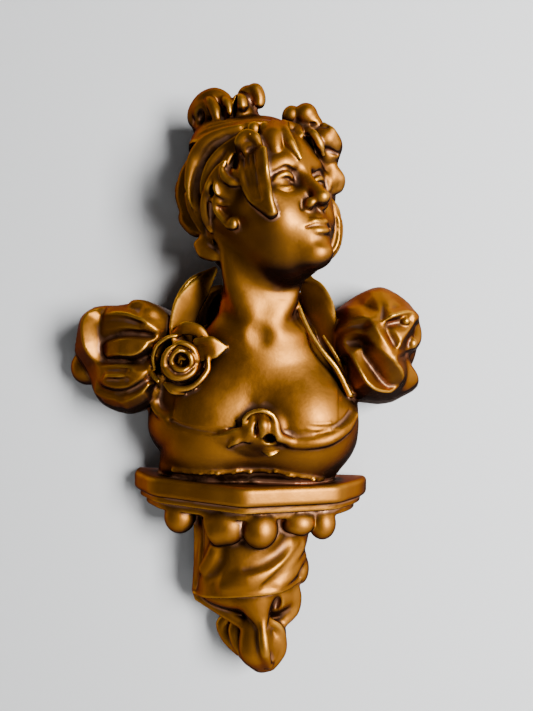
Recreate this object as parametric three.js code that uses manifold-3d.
// A wall plaque cast in one piece: the head and shoulders of a young woman in a
// puff-sleeved dress, on a small shelf that a draped bracket carries.
// Millimetres, +Z up. The wall is the plane y = 0 and the plaque stands out of it
// towards -Y. The origin is on the wall face, on the shelf's centre line, level
// with the shelf's top. Points are written [x, proud, z]: proud is how far the
// point stands out from the wall.
import * as THREE from "three";
import { mergeVertices } from "three/addons/utils/BufferGeometryUtils.js";
import Module from "manifold-3d";

const wasm = await Module();
wasm.setup();

// Driving dimensions
const FIGURE_HEIGHT = 252; // shelf top to the top of the hair
const SHELF_WIDTH = 156; // along the wall
const SHELF_PROUD = 59; // from the wall to the front corner
const SHELF_SIDE_PROUD = 36; // from the wall to the two side corners
const SHELF_CORNER_SPAN = 118; // between the two side corners
const SHELF_CORNER_ROUND = 7; // how much of an edge each corner's rounding takes
const LIP_HEIGHT = 12.5; // the shelf's square upper lip
const STEP_HEIGHT = 9.5; // the stepped moulding under the lip
const EDGE_ROUND = 1.8; // rounding of the shelf's edges
const BRACKET_DROP = 101; // shelf underside to the bottom of the scroll
const FRUIT_RADIUS = 10; // the round drops under the shelf
const HEAD_HEIGHT = 102; // chin to crown, without the hair
const HEAD_TURN = 44; // degrees, towards the viewer's right
const HEAD_LIFT = 8; // degrees, chin up
const HEAD_LEAN = 10; // degrees, crown towards the viewer's left

// The figure, head, hair and bracket are drawn for these heights and scaled from them.
const FIGURE_DRAWN = 252;
const HEAD_DRAWN = 100;
const HAIR_DRAWN = 102; // height of the head that the hair is drawn around
const BRACKET_DRAWN = 101;

const toWorld = ([x, proud, z]) => new THREE.Vector3(x, -proud, z);

// Frames: a form drawn in one of them is carried to its place in the plaque.
const figureFrame = new THREE.Matrix4().makeScale(
  FIGURE_HEIGHT / FIGURE_DRAWN,
  FIGURE_HEIGHT / FIGURE_DRAWN,
  FIGURE_HEIGHT / FIGURE_DRAWN,
);
const SHELF_UNDERSIDE = -(LIP_HEIGHT + STEP_HEIGHT);
const bracketFrame = new THREE.Matrix4()
  .makeTranslation(0, 0, SHELF_UNDERSIDE)
  .multiply(
    new THREE.Matrix4().makeScale(
      BRACKET_DROP / BRACKET_DRAWN,
      BRACKET_DROP / BRACKET_DRAWN,
      BRACKET_DROP / BRACKET_DRAWN,
    ),
  );
const HEAD_CENTRE = [11, 46, 172];
const headCentre = toWorld(HEAD_CENTRE);
const hairFrame = figureFrame
  .clone()
  .multiply(new THREE.Matrix4().makeTranslation(headCentre))
  .multiply(
    new THREE.Matrix4().makeScale(
      HEAD_HEIGHT / HAIR_DRAWN,
      HEAD_HEIGHT / HAIR_DRAWN,
      HEAD_HEIGHT / HAIR_DRAWN,
    ),
  )
  .multiply(new THREE.Matrix4().makeTranslation(headCentre.clone().negate()));
const radians = THREE.MathUtils.degToRad;
const headFrame = figureFrame
  .clone()
  .multiply(new THREE.Matrix4().makeTranslation(headCentre))
  .multiply(new THREE.Matrix4().makeRotationY(-radians(HEAD_LEAN)))
  .multiply(new THREE.Matrix4().makeRotationZ(radians(HEAD_TURN)))
  .multiply(new THREE.Matrix4().makeRotationX(-radians(HEAD_LIFT)))
  .multiply(
    new THREE.Matrix4().makeScale(
      HEAD_HEIGHT / HEAD_DRAWN,
      HEAD_HEIGHT / HEAD_DRAWN,
      HEAD_HEIGHT / HEAD_DRAWN,
    ),
  );

// A closed geometry as a solid that can be joined and cut.
function solid(geometry, frame = new THREE.Matrix4()) {
  const bare = geometry.index ? geometry.toNonIndexed() : geometry.clone();
  for (const name of Object.keys(bare.attributes)) {
    if (name !== "position") bare.deleteAttribute(name);
  }
  bare.applyMatrix4(frame);
  const merged = mergeVertices(bare, 1e-3);
  return new wasm.Manifold(
    new wasm.Mesh({
      numProp: 3,
      vertProperties: merged.attributes.position.array,
      triVerts: new Uint32Array(merged.index.array),
    }),
  );
}

// A closed skin over rings of equal point counts, with a point at each end.
function skin(rings, first, last) {
  const count = rings[0].length;
  const points = [first, ...rings.flat(), last];
  const at = (ring, k) => 1 + ring * count + (k % count);
  const index = [];
  for (let k = 0; k < count; k++) {
    index.push(0, at(0, k), at(0, k + 1));
    index.push(points.length - 1, at(rings.length - 1, k + 1), at(rings.length - 1, k));
    for (let r = 0; r + 1 < rings.length; r++) {
      index.push(at(r, k), at(r + 1, k + 1), at(r, k + 1));
      index.push(at(r, k), at(r + 1, k), at(r + 1, k + 1));
    }
  }
  return new THREE.BufferGeometry().setFromPoints(points).setIndex(index);
}

// An egg-shaped form: a sphere with three radii, turned by degrees about x, y and z.
function egg(centre, radii, turn = [0, 0, 0], detail = 8) {
  const [rx, ry, rz] = radii;
  const ball = new THREE.SphereGeometry(1, detail, Math.round(detail * 0.6));
  ball.rotateX(Math.PI / 2).scale(rx, ry, rz);
  ball.applyMatrix4(
    new THREE.Matrix4().makeRotationFromEuler(new THREE.Euler(...turn.map(radians))),
  );
  const place = toWorld(centre);
  return ball.translate(place.x, place.y, place.z);
}

// A lock of hair, a fold of cloth or a leaf: a tapered band along a smooth curve.
// widths are half-widths along it, thick is the thickness as a share of the width,
// and face is the direction that its broad side looks to.
function lock(points, widths, options = {}) {
  const { thick = 0.75, face = [0, 1, 0], sides = 5, steps = 4 } = options;
  const curve = new THREE.CatmullRomCurve3(points.map(toWorld), false, "centripetal");
  const outward = toWorld(face).normalize();
  const widthAt = (t) => {
    const place = t * (widths.length - 1);
    const low = Math.min(Math.floor(place), widths.length - 2);
    return THREE.MathUtils.lerp(widths[low], widths[low + 1], place - low);
  };
  const rings = [];
  for (let s = 0; s <= steps; s++) {
    const t = s / steps;
    const centre = curve.getPoint(t);
    const along = curve.getTangent(t);
    const across = new THREE.Vector3().crossVectors(along, outward).normalize();
    const up = new THREE.Vector3().crossVectors(across, along).normalize();
    const half = widthAt(t);
    rings.push(
      Array.from({ length: sides }, (_, k) => {
        const angle = (2 * Math.PI * k) / sides;
        return centre
          .clone()
          .addScaledVector(across, half * Math.cos(angle))
          .addScaledVector(up, half * thick * Math.sin(angle));
      }),
    );
  }
  const END_BULGE = 0.6;
  const endPoint = (t, sign) =>
    curve
      .getPoint(t)
      .addScaledVector(curve.getTangent(t), sign * END_BULGE * thick * widthAt(t));
  return skin(rings, endPoint(0, -1), endPoint(1, 1));
}

// A trunk built of level sections {z, centre, half, front}: each is half an oval
// that starts on the wall, with folds as a share of its size at an angle and a level.
function trunk(sections, sides, fold) {
  const rings = sections.map(({ z, centre, half, front }) =>
    Array.from({ length: sides }, (_, k) => {
      const angle = (2 * Math.PI * k) / sides;
      const swell = 1 + fold(angle, z);
      const proud = WALL_CORE + (front - WALL_CORE) * Math.sin(angle) * swell;
      return toWorld([centre + half * Math.cos(angle) * swell, proud, z]);
    }),
  );
  const middle = ({ z, centre }) => toWorld([centre, WALL_CORE, z]);
  return skin(rings, middle(sections[0]), middle(sections.at(-1)));
}
const WALL_CORE = 12; // how proud a trunk's axis stands

// A curl: a lock wound round a centre in the plane that faces the viewer.
function curl([x, proud, z], radius, thickness, startDegrees, turnDegrees) {
  const POINTS = 5;
  const points = Array.from({ length: POINTS }, (_, k) => {
    const share = k / (POINTS - 1);
    const angle = radians(startDegrees + share * turnDegrees);
    const reach = radius * (1 - 0.45 * share);
    return [x + reach * Math.cos(angle), proud + share * 3, z + reach * Math.sin(angle)];
  });
  return lock(points, [thickness * 0.8, thickness, thickness * 0.7]);
}

// Torso, neck and the low-cut bodice
function torso() {
  const BUST_LEVEL = 47;
  const bump = (value, middle, spread) => Math.exp(-(((value - middle) / spread) ** 2));
  const bust = (angle, z) =>
    bump(z, BUST_LEVEL, 24) *
    (0.17 * bump(angle, radians(59), 0.4) + 0.17 * bump(angle, radians(121), 0.4) - 0.03);
  const chest = trunk(
    [
      { z: -2, centre: -1, half: 53, front: 46 },
      { z: 6, centre: 0, half: 59, front: 51 },
      { z: 20, centre: 2, half: 65, front: 56 },
      { z: 36, centre: 3, half: 64, front: 57 },
      { z: 54, centre: 5, half: 60, front: 57 },
      { z: 74, centre: 5, half: 53, front: 56 },
      { z: 88, centre: 5, half: 42, front: 54 },
      { z: 100, centre: 5, half: 27, front: 50 },
    ],
    18,
    bust,
  );
  const neck = lock([[5, 22, 84], [4, 31, 102], [4, 38, 124], [8, 42, 152]], [30, 24, 23, 25], {
    thick: 0.95,
    sides: 10,
    steps: 4,
  });
  return [chest, neck];
}

// The rolled neckline with its knot, and the shoulder straps
function neckline() {
  const leftRoll = [[-60, 38, 58], [-57, 45, 47], [-46, 53, 38], [-31, 59, 31], [-14, 62, 29], [3, 63, 33]];
  const rightRoll = [[67, 34, 58], [65, 42, 47], [57, 50, 39], [45, 57, 33], [33, 61, 31], [20, 63, 34]];
  const strap = [[67, 34, 56], [62, 40, 72], [54, 42, 86], [44, 42, 100], [34, 38, 118]];
  return [
    lock(leftRoll, [4, 7, 8, 8, 6, 4], { steps: 6 }),
    lock(rightRoll, [4, 7, 8, 8, 6, 4], { steps: 6 }),
    lock([[2, 61, 36], [3, 63, 44], [11, 64, 48], [20, 63, 44], [21, 61, 36]], [3, 3.6, 4, 3.6, 3], {
      steps: 6,
    }),
    lock([[7, 62, 44], [6, 66, 36], [3, 64, 29]], [3.6, 4.4, 3], { steps: 3 }),
    lock([[15, 62, 44], [16, 66, 36], [19, 64, 29]], [3.6, 4.4, 3], { steps: 3 }),
    egg([12, 58, 26], [7, 6, 5], [0, 0, 0], 8),
    lock([[-60, 36, 56], [-61, 38, 70], [-53, 42, 84]], [4.5, 5.5, 4]),
    lock(strap, [4, 3.6, 3.4, 3.4, 3], { sides: 4 }),
  ];
}

// The standing collar: a leaf-shaped blade on each side of the neck
function collar() {
  const left = [[-42, 46, 80], [-45, 38, 95], [-42, 30, 111], [-35, 22, 125], [-24, 14, 138]];
  const right = [[65, 36, 56], [60, 32, 74], [52, 26, 94], [46, 20, 112], [38, 14, 131]];
  return [
    lock(left, [8, 12, 13, 10, 2], { thick: 0.32, face: [0.7, 0.7, 0], steps: 5 }),
    lock(right, [4, 8, 12, 13, 8], { thick: 0.3, face: [-0.6, 0.8, 0], steps: 5 }),
    // the cloth between the collar and the wall
    egg([-30, 8, 104], [17, 14, 26], [0, 25, 0]),
    egg([42, 8, 98], [18, 12, 32], [0, -20, 0]),
  ];
}

// The puffed sleeves: lumps of gathered cloth with ridges laid over them
function leftSleeve() {
  return [
    egg([-94, 27, 92], [27, 28, 21], [0, 15, 0]),
    egg([-84, 28, 62], [27, 28, 21], [0, -20, 0]),
    egg([-69, 28, 98], [21, 26, 17]),
    egg([-66, 33, 62], [17, 25, 20]),
    egg([-105, 18, 68], [13, 16, 17], [0, 20, 0], 8),
    lock([[-100, 40, 103], [-80, 47, 106], [-60, 44, 102]], [7, 8, 5], { steps: 3 }),
    lock([[-86, 48, 98], [-72, 53, 97], [-58, 49, 91]], [4, 5.5, 4], { steps: 3 }),
    lock([[-98, 42, 104], [-104, 41, 92], [-100, 45, 80], [-92, 46, 69]], [7, 9, 8, 5]),
    lock([[-84, 47, 78], [-71, 54, 78], [-59, 53, 84]], [4, 5.5, 4], { steps: 3 }),
    lock([[-88, 45, 66], [-74, 53, 65], [-60, 52, 66]], [4.5, 6, 4.5], { steps: 3 }),
    lock([[-98, 34, 57], [-82, 42, 48], [-66, 48, 50], [-54, 49, 60]], [5, 6, 6.5, 4]),
  ];
}

function rightSleeve() {
  return [
    egg([80, 26, 106], [23, 25, 15]),
    egg([78, 29, 77], [21, 28, 25], [0, 10, 0]),
    egg([97, 22, 96], [12, 21, 17], [0, 0, 0], 8),
    egg([97, 20, 70], [12, 19, 14], [0, 0, 0], 8),
    egg([66, 26, 88], [16, 24, 25]),
    lock([[63, 44, 94], [63, 50, 78], [70, 53, 64], [84, 47, 56]], [5, 6, 6, 4]),
    lock([[73, 51, 90], [82, 55, 80], [92, 49, 72], [97, 42, 66]], [5, 6, 6.5, 5]),
    lock([[64, 46, 100], [69, 54, 90], [77, 57, 79], [84, 53, 69]], [5, 6, 5, 3.5]),
    lock([[63, 44, 105], [71, 48, 110], [81, 42, 118]], [5.5, 7, 5], { steps: 3 }),
    lock([[81, 50, 101], [87, 47, 107], [96, 39, 111], [102, 31, 107]], [4.5, 6, 6.5, 5]),
    lock([[97, 40, 104], [103, 33, 96], [102, 33, 88], [95, 38, 84]], [4.5, 5.5, 5.5, 4]),
  ];
}

// The rose at the left shoulder, with its leaves
function rose() {
  const [x, proud, z] = [-39, 58, 74];
  const ring = (radius, tube, reach) =>
    new THREE.TorusGeometry(radius, tube, 4, 9)
      .rotateX(Math.PI / 2)
      .rotateZ(radians(-8))
      .translate(x, -(proud + reach), z);
  const PETALS = 4;
  const petals = Array.from({ length: PETALS }, (_, k) => {
    const angle = radians(100 + k * 66);
    return egg(
      [x + 13 * Math.cos(angle), proud - 7, z + 13 * Math.sin(angle)],
      [8, 4, 5.5],
      [0, 90 - THREE.MathUtils.radToDeg(angle), 0],
      6,
    );
  });
  const leafWidths = [3, 5, 1.5];
  const leaf = { thick: 0.5, sides: 4, steps: 3 };
  return [
    egg([x, proud - 8, z], [14, 11, 14], [0, 0, 0], 8),
    ring(10.2, 2.4, 1),
    ring(5.6, 2.1, 3),
    ...petals,
    lock([[x + 8, 50, z + 8], [x + 17, 52, z + 11], [x + 26, 50, z + 12]], leafWidths, leaf),
    lock([[x - 3, 48, z + 14], [x + 3, 51, z + 18], [x + 10, 51, z + 17]], leafWidths, leaf),
    lock([[x - 6, 52, z - 13], [x + 1, 54, z - 15], [x + 8, 51, z - 14]], leafWidths, leaf),
  ];
}

// The head, drawn 100 mm from chin to crown with the eyes half-way up
function head() {
  const pair = (make) => [-1, 1].map(make);
  return [
    egg([0, -5, 8], [33, 42, 42], [0, 0, 0], 12),
    egg([0, 6, -15], [26, 30, 35], [0, 0, 0], 12),
    egg([0, 28, -41], [10, 9, 8], [0, 0, 0], 7),
    // brow, nose and lips
    ...pair((s) => lock([[s * 3, 36, 8], [s * 12, 36, 11], [s * 22, 28, 7]], [2, 2.6, 1.6], { steps: 3 })),
    lock([[0, 34, 9], [0, 39, -3], [0, 43.5, -14]], [3, 3.4, 5], { steps: 3 }),
    egg([0, 38, -16], [7, 5, 3.5], [0, 0, 0], 6),
    egg([0, 26, -29], [12, 10, 10], [0, 0, 0], 8),
    lock([[-8, 32, -29.5], [0, 36.5, -27.5], [8, 32, -29.5]], [1.4, 2.8, 1.4]),
    lock([[-7, 32, -32.5], [0, 36, -34], [7, 32, -32.5]], [1.4, 3, 1.4]),
    // lids
    ...pair((s) => egg([s * 13, 28, 0], [7, 6.5, 5.2], [0, 0, 0], 7)),
    // the ear on the near side; the far one is under the hair
    lock([[-32, 0, 7], [-35, -5, 1], [-31, 0, -15]], [3, 5, 3], { steps: 3 }),
  ];
}

// The hair, in its own frame: waves swept back from the forehead, a long side lock,
// small curls along the headband, hair on the far side and curled knots on the crown
function hair() {
  const ball = (centre, radii) => egg(centre, radii, [0, 0, 0], 5);
  const swept = [
    egg([-15, 26, 188], [29, 28, 36], [0, 8, 0]),
    lock([[0, 66, 213], [-19, 60, 203], [-29, 53, 191], [-33, 48, 177], [-30, 40, 158]], [6, 9, 10, 9, 5], {
      steps: 5,
    }),
    lock([[-32, 36, 208], [-41, 30, 198], [-44, 24, 184], [-41, 22, 170], [-31, 25, 156]], [6, 9, 10, 9, 5], {
      steps: 5,
    }),
    lock([[-6, 69, 194], [-17, 65, 185], [-22, 58, 174], [-23, 49, 158]], [5, 6, 6, 4]),
    lock([[-6, 75, 183], [-13, 73, 177], [-10, 72, 170], [0, 73, 168]], [4, 5, 5, 3]),
    lock([[-20, 34, 162], [-29, 37, 153], [-29, 41, 146], [-16, 46, 141]], [5, 6, 6.5, 4]),
  ];
  const sideLock = lock(
    [[8, 81, 191], [5, 83, 182], [7, 81, 171], [13, 77, 157]],
    [4, 9, 8.5, 1.5],
    { thick: 0.5, face: [0.2, 1, 0], steps: 5 },
  );
  const forehead = [
    curl([2, 82, 196], 7, 5, 200, -230),
    egg([8, 77, 207], [9, 6, 6], [0, 0, 0], 8),
    lock([[18, 76, 209], [20, 84, 199], [25, 88, 192], [32, 89, 186]], [7, 8, 5, 1.5]),
    ball([27, 79, 207], [6, 6, 6]),
  ];
  const farSide = [
    egg([38, 34, 194], [18, 26, 30], [0, -10, 0]),
    ball([24, 60, 220], [7, 7, 8]),
    lock([[30, 58, 215], [34, 61, 224], [43, 57, 216]], [6, 8, 4]),
    ball([44, 54, 209], [11, 11, 9]),
    ball([51, 52, 210], [7, 8, 8]),
    lock([[47, 48, 198], [56, 43, 192], [50, 46, 183]], [5, 7, 5]),
    egg([38, 28, 160], [16, 24, 24]),
    lock([[45, 46, 181], [49, 40, 170], [50, 36, 160], [46, 36, 149]], [6, 8, 8, 7]),
    lock([[50, 34, 152], [45, 38, 143], [30, 42, 139]], [6, 7, 4]),
  ];
  const topKnot = [
    egg([-14, 26, 224], [26, 24, 18], [0, 20, 0]),
    lock([[-38, 24, 228], [-36, 30, 240], [-27, 34, 246], [-18, 36, 239], [-17, 36, 228]], [6, 8, 9, 8, 6]),
    ball([-25, 40, 235], [6, 6, 9]),
    ball([-6, 40, 234], [6.5, 7, 8]),
    lock([[-10, 30, 230], [-7, 34, 243], [-1, 34, 247], [5, 32, 241], [3, 34, 228]], [6, 7, 7.5, 7, 6]),
  ];
  return [...swept, sideLock, ...forehead, ...farSide, ...topKnot];
}

// The hair drawn close to the skull under a smooth cloth band, in the head's frame
function cap() {
  return [egg([0, -8, 13], [36, 42, 42], [0, 0, 0], 11), egg([2, -26, -6], [31, 24, 32])];
}

const BEHIND_WALL = 20; // forms run on behind the wall face, which cuts them flat

// The shelf: a five-sided plan with rounded corners, as stacked mouldings
function shelf() {
  const half = SHELF_WIDTH / 2;
  const corners = [
    [half, 0],
    [half - 3, 12],
    [SHELF_CORNER_SPAN / 2, SHELF_SIDE_PROUD],
    [0, SHELF_PROUD],
    [-SHELF_CORNER_SPAN / 2, SHELF_SIDE_PROUD],
    [-half + 3, 12],
    [-half, 0],
  ].map(([x, proud]) => new THREE.Vector2(x, proud));
  const plan = new THREE.Shape();
  const round = SHELF_CORNER_ROUND;
  plan.moveTo(half, -BEHIND_WALL);
  plan.lineTo(corners[0].x, corners[0].y);
  for (let k = 1; k + 1 < corners.length; k++) {
    const before = corners[k - 1].clone().sub(corners[k]).setLength(round).add(corners[k]);
    const after = corners[k + 1].clone().sub(corners[k]).setLength(round).add(corners[k]);
    const isFront = corners[k].x === 0;
    if (isFront) {
      plan.lineTo(corners[k].x, corners[k].y);
    } else {
      plan.lineTo(before.x, before.y);
      plan.quadraticCurveTo(corners[k].x, corners[k].y, after.x, after.y);
    }
  }
  plan.lineTo(-half, 0);
  plan.lineTo(-half, -BEHIND_WALL);
  const layer = (top, height, inset, edge) => {
    const slab = new THREE.ExtrudeGeometry(plan, {
      depth: height - 2 * edge,
      bevelThickness: edge,
      bevelSize: edge,
      bevelOffset: -edge - inset,
      bevelSegments: 1,
      curveSegments: 2,
    });
    // drawn facing up with proud along +Y: turn it over so that proud looks to -Y
    return slab.rotateX(Math.PI).translate(0, 0, top - edge);
  };
  const OVERLAP = 1;
  return [
    layer(0, LIP_HEIGHT, 0, EDGE_ROUND),
    layer(-LIP_HEIGHT + OVERLAP, STEP_HEIGHT * 0.5 + OVERLAP, 4, 1),
    layer(-LIP_HEIGHT - STEP_HEIGHT * 0.5 + OVERLAP, STEP_HEIGHT * 0.5 + OVERLAP, 8, 1),
  ];
}

// The round drops under the shelf's edge: share of the half-width, proud share, size
function fruit() {
  const drops = [
    [-0.56, 0.46, 0.9],
    [-0.12, 0.74, 1],
    [0.13, 0.76, 1.14],
    [0.42, 0.65, 0.9],
    [0.61, 0.5, 0.86],
  ];
  return drops.map(([across, out, size]) => {
    const radius = FRUIT_RADIUS * size;
    const level = SHELF_UNDERSIDE - 0.45 * radius;
    const centre = [(across * SHELF_WIDTH) / 2, out * SHELF_PROUD, level];
    return egg(centre, [radius, radius, radius * 1.12], [0, 0, 0], 8);
  });
}

// The draped bracket, drawn with the shelf's underside at z = 0
function bracket() {
  const fold = (angle, z) =>
    0.035 * Math.sin(9 * angle - 0.06 * z) + 0.025 * Math.sin(5 * angle + 0.04 * z);
  const cloth = trunk(
    [
      { z: -78, centre: 7, half: 15, front: 22 },
      { z: -60, centre: 4, half: 27, front: 34 },
      { z: -54, centre: 1, half: 34, front: 41 },
      { z: -50, centre: 1, half: 36, front: 44 },
      { z: -32, centre: 2, half: 34, front: 41 },
      { z: -14, centre: 2, half: 33, front: 40 },
      { z: 4, centre: 1, half: 37, front: 44 },
    ],
    18,
    fold,
  );
  return [
    cloth,
    lock([[40, 24, -15], [33, 32, -24], [20, 38, -33], [6, 41, -40], [-9, 40, -42]], [5, 7, 7, 6, 4], {
      steps: 5,
    }),
    lock([[38, 16, -30], [33, 24, -38], [21, 33, -44]], [5, 6, 4], { steps: 3 }),
    lock([[12, 40, -14], [-1, 40, -27], [-17, 37, -38]], [4, 5, 4], { steps: 3 }),
    lock([[-30, 20, -2], [-30, 22, -23], [-32, 21, -43], [-34, 20, -54]], [5, 5, 5, 5]),
    // under-cloth and the three-lobed scroll at the foot
    egg([8, 8, -80], [17, 16, 18]),
    lock([[11, 24, -54], [9, 30, -70], [10, 30, -85], [12, 22, -95]], [12, 10, 11, 7], { sides: 6 }),
    lock([[15, 20, -66], [22, 20, -76], [23, 18, -87], [17, 18, -95]], [5, 8, 8, 6]),
    lock([[-11, 6, -70], [-9, 12, -79], [-4, 15, -89], [4, 16, -95]], [3, 8, 8, 5]),
  ];
}

// All forms joined, then cut flat by the wall
function plaque() {
  const forms = [
    ...[torso, neckline, collar, leftSleeve, rightSleeve, rose].flatMap((make) =>
      make().map((form) => solid(form, figureFrame)),
    ),
    ...hair().map((form) => solid(form, hairFrame)),
    ...[...head(), ...cap()].map((form) => solid(form, headFrame)),
    ...[...shelf(), ...fruit()].map((form) => solid(form)),
    ...bracket().map((form) => solid(form, bracketFrame)),
  ];
  const whole = forms.reduce((sum, form) => sum.add(form));
  const reach = 2 * (FIGURE_HEIGHT + BRACKET_DROP);
  const room = new THREE.BoxGeometry(reach, reach, reach).translate(0, -reach / 2, 0);
  // a gap that the forms close in between them is a shell of negative volume: it is filled
  const shells = whole.intersect(solid(room)).decompose();
  const cast = shells.filter((shell) => shell.volume() > 0).reduce((sum, shell) => sum.add(shell));
  const mesh = cast.getMesh();
  const geometry = new THREE.BufferGeometry();
  geometry.setAttribute("position", new THREE.BufferAttribute(mesh.vertProperties, 3));
  geometry.setIndex(new THREE.BufferAttribute(mesh.triVerts, 1));
  geometry.computeVertexNormals();
  return geometry;
}

const goldBronze = new THREE.MeshStandardMaterial({
  color: 0x9c6a24,
  roughness: 0.38,
  metalness: 0.85,
});

const group = new THREE.Group();
const bust = new THREE.Mesh(plaque(), goldBronze);
bust.name = "bust_plaque";
group.add(bust);

export default group;
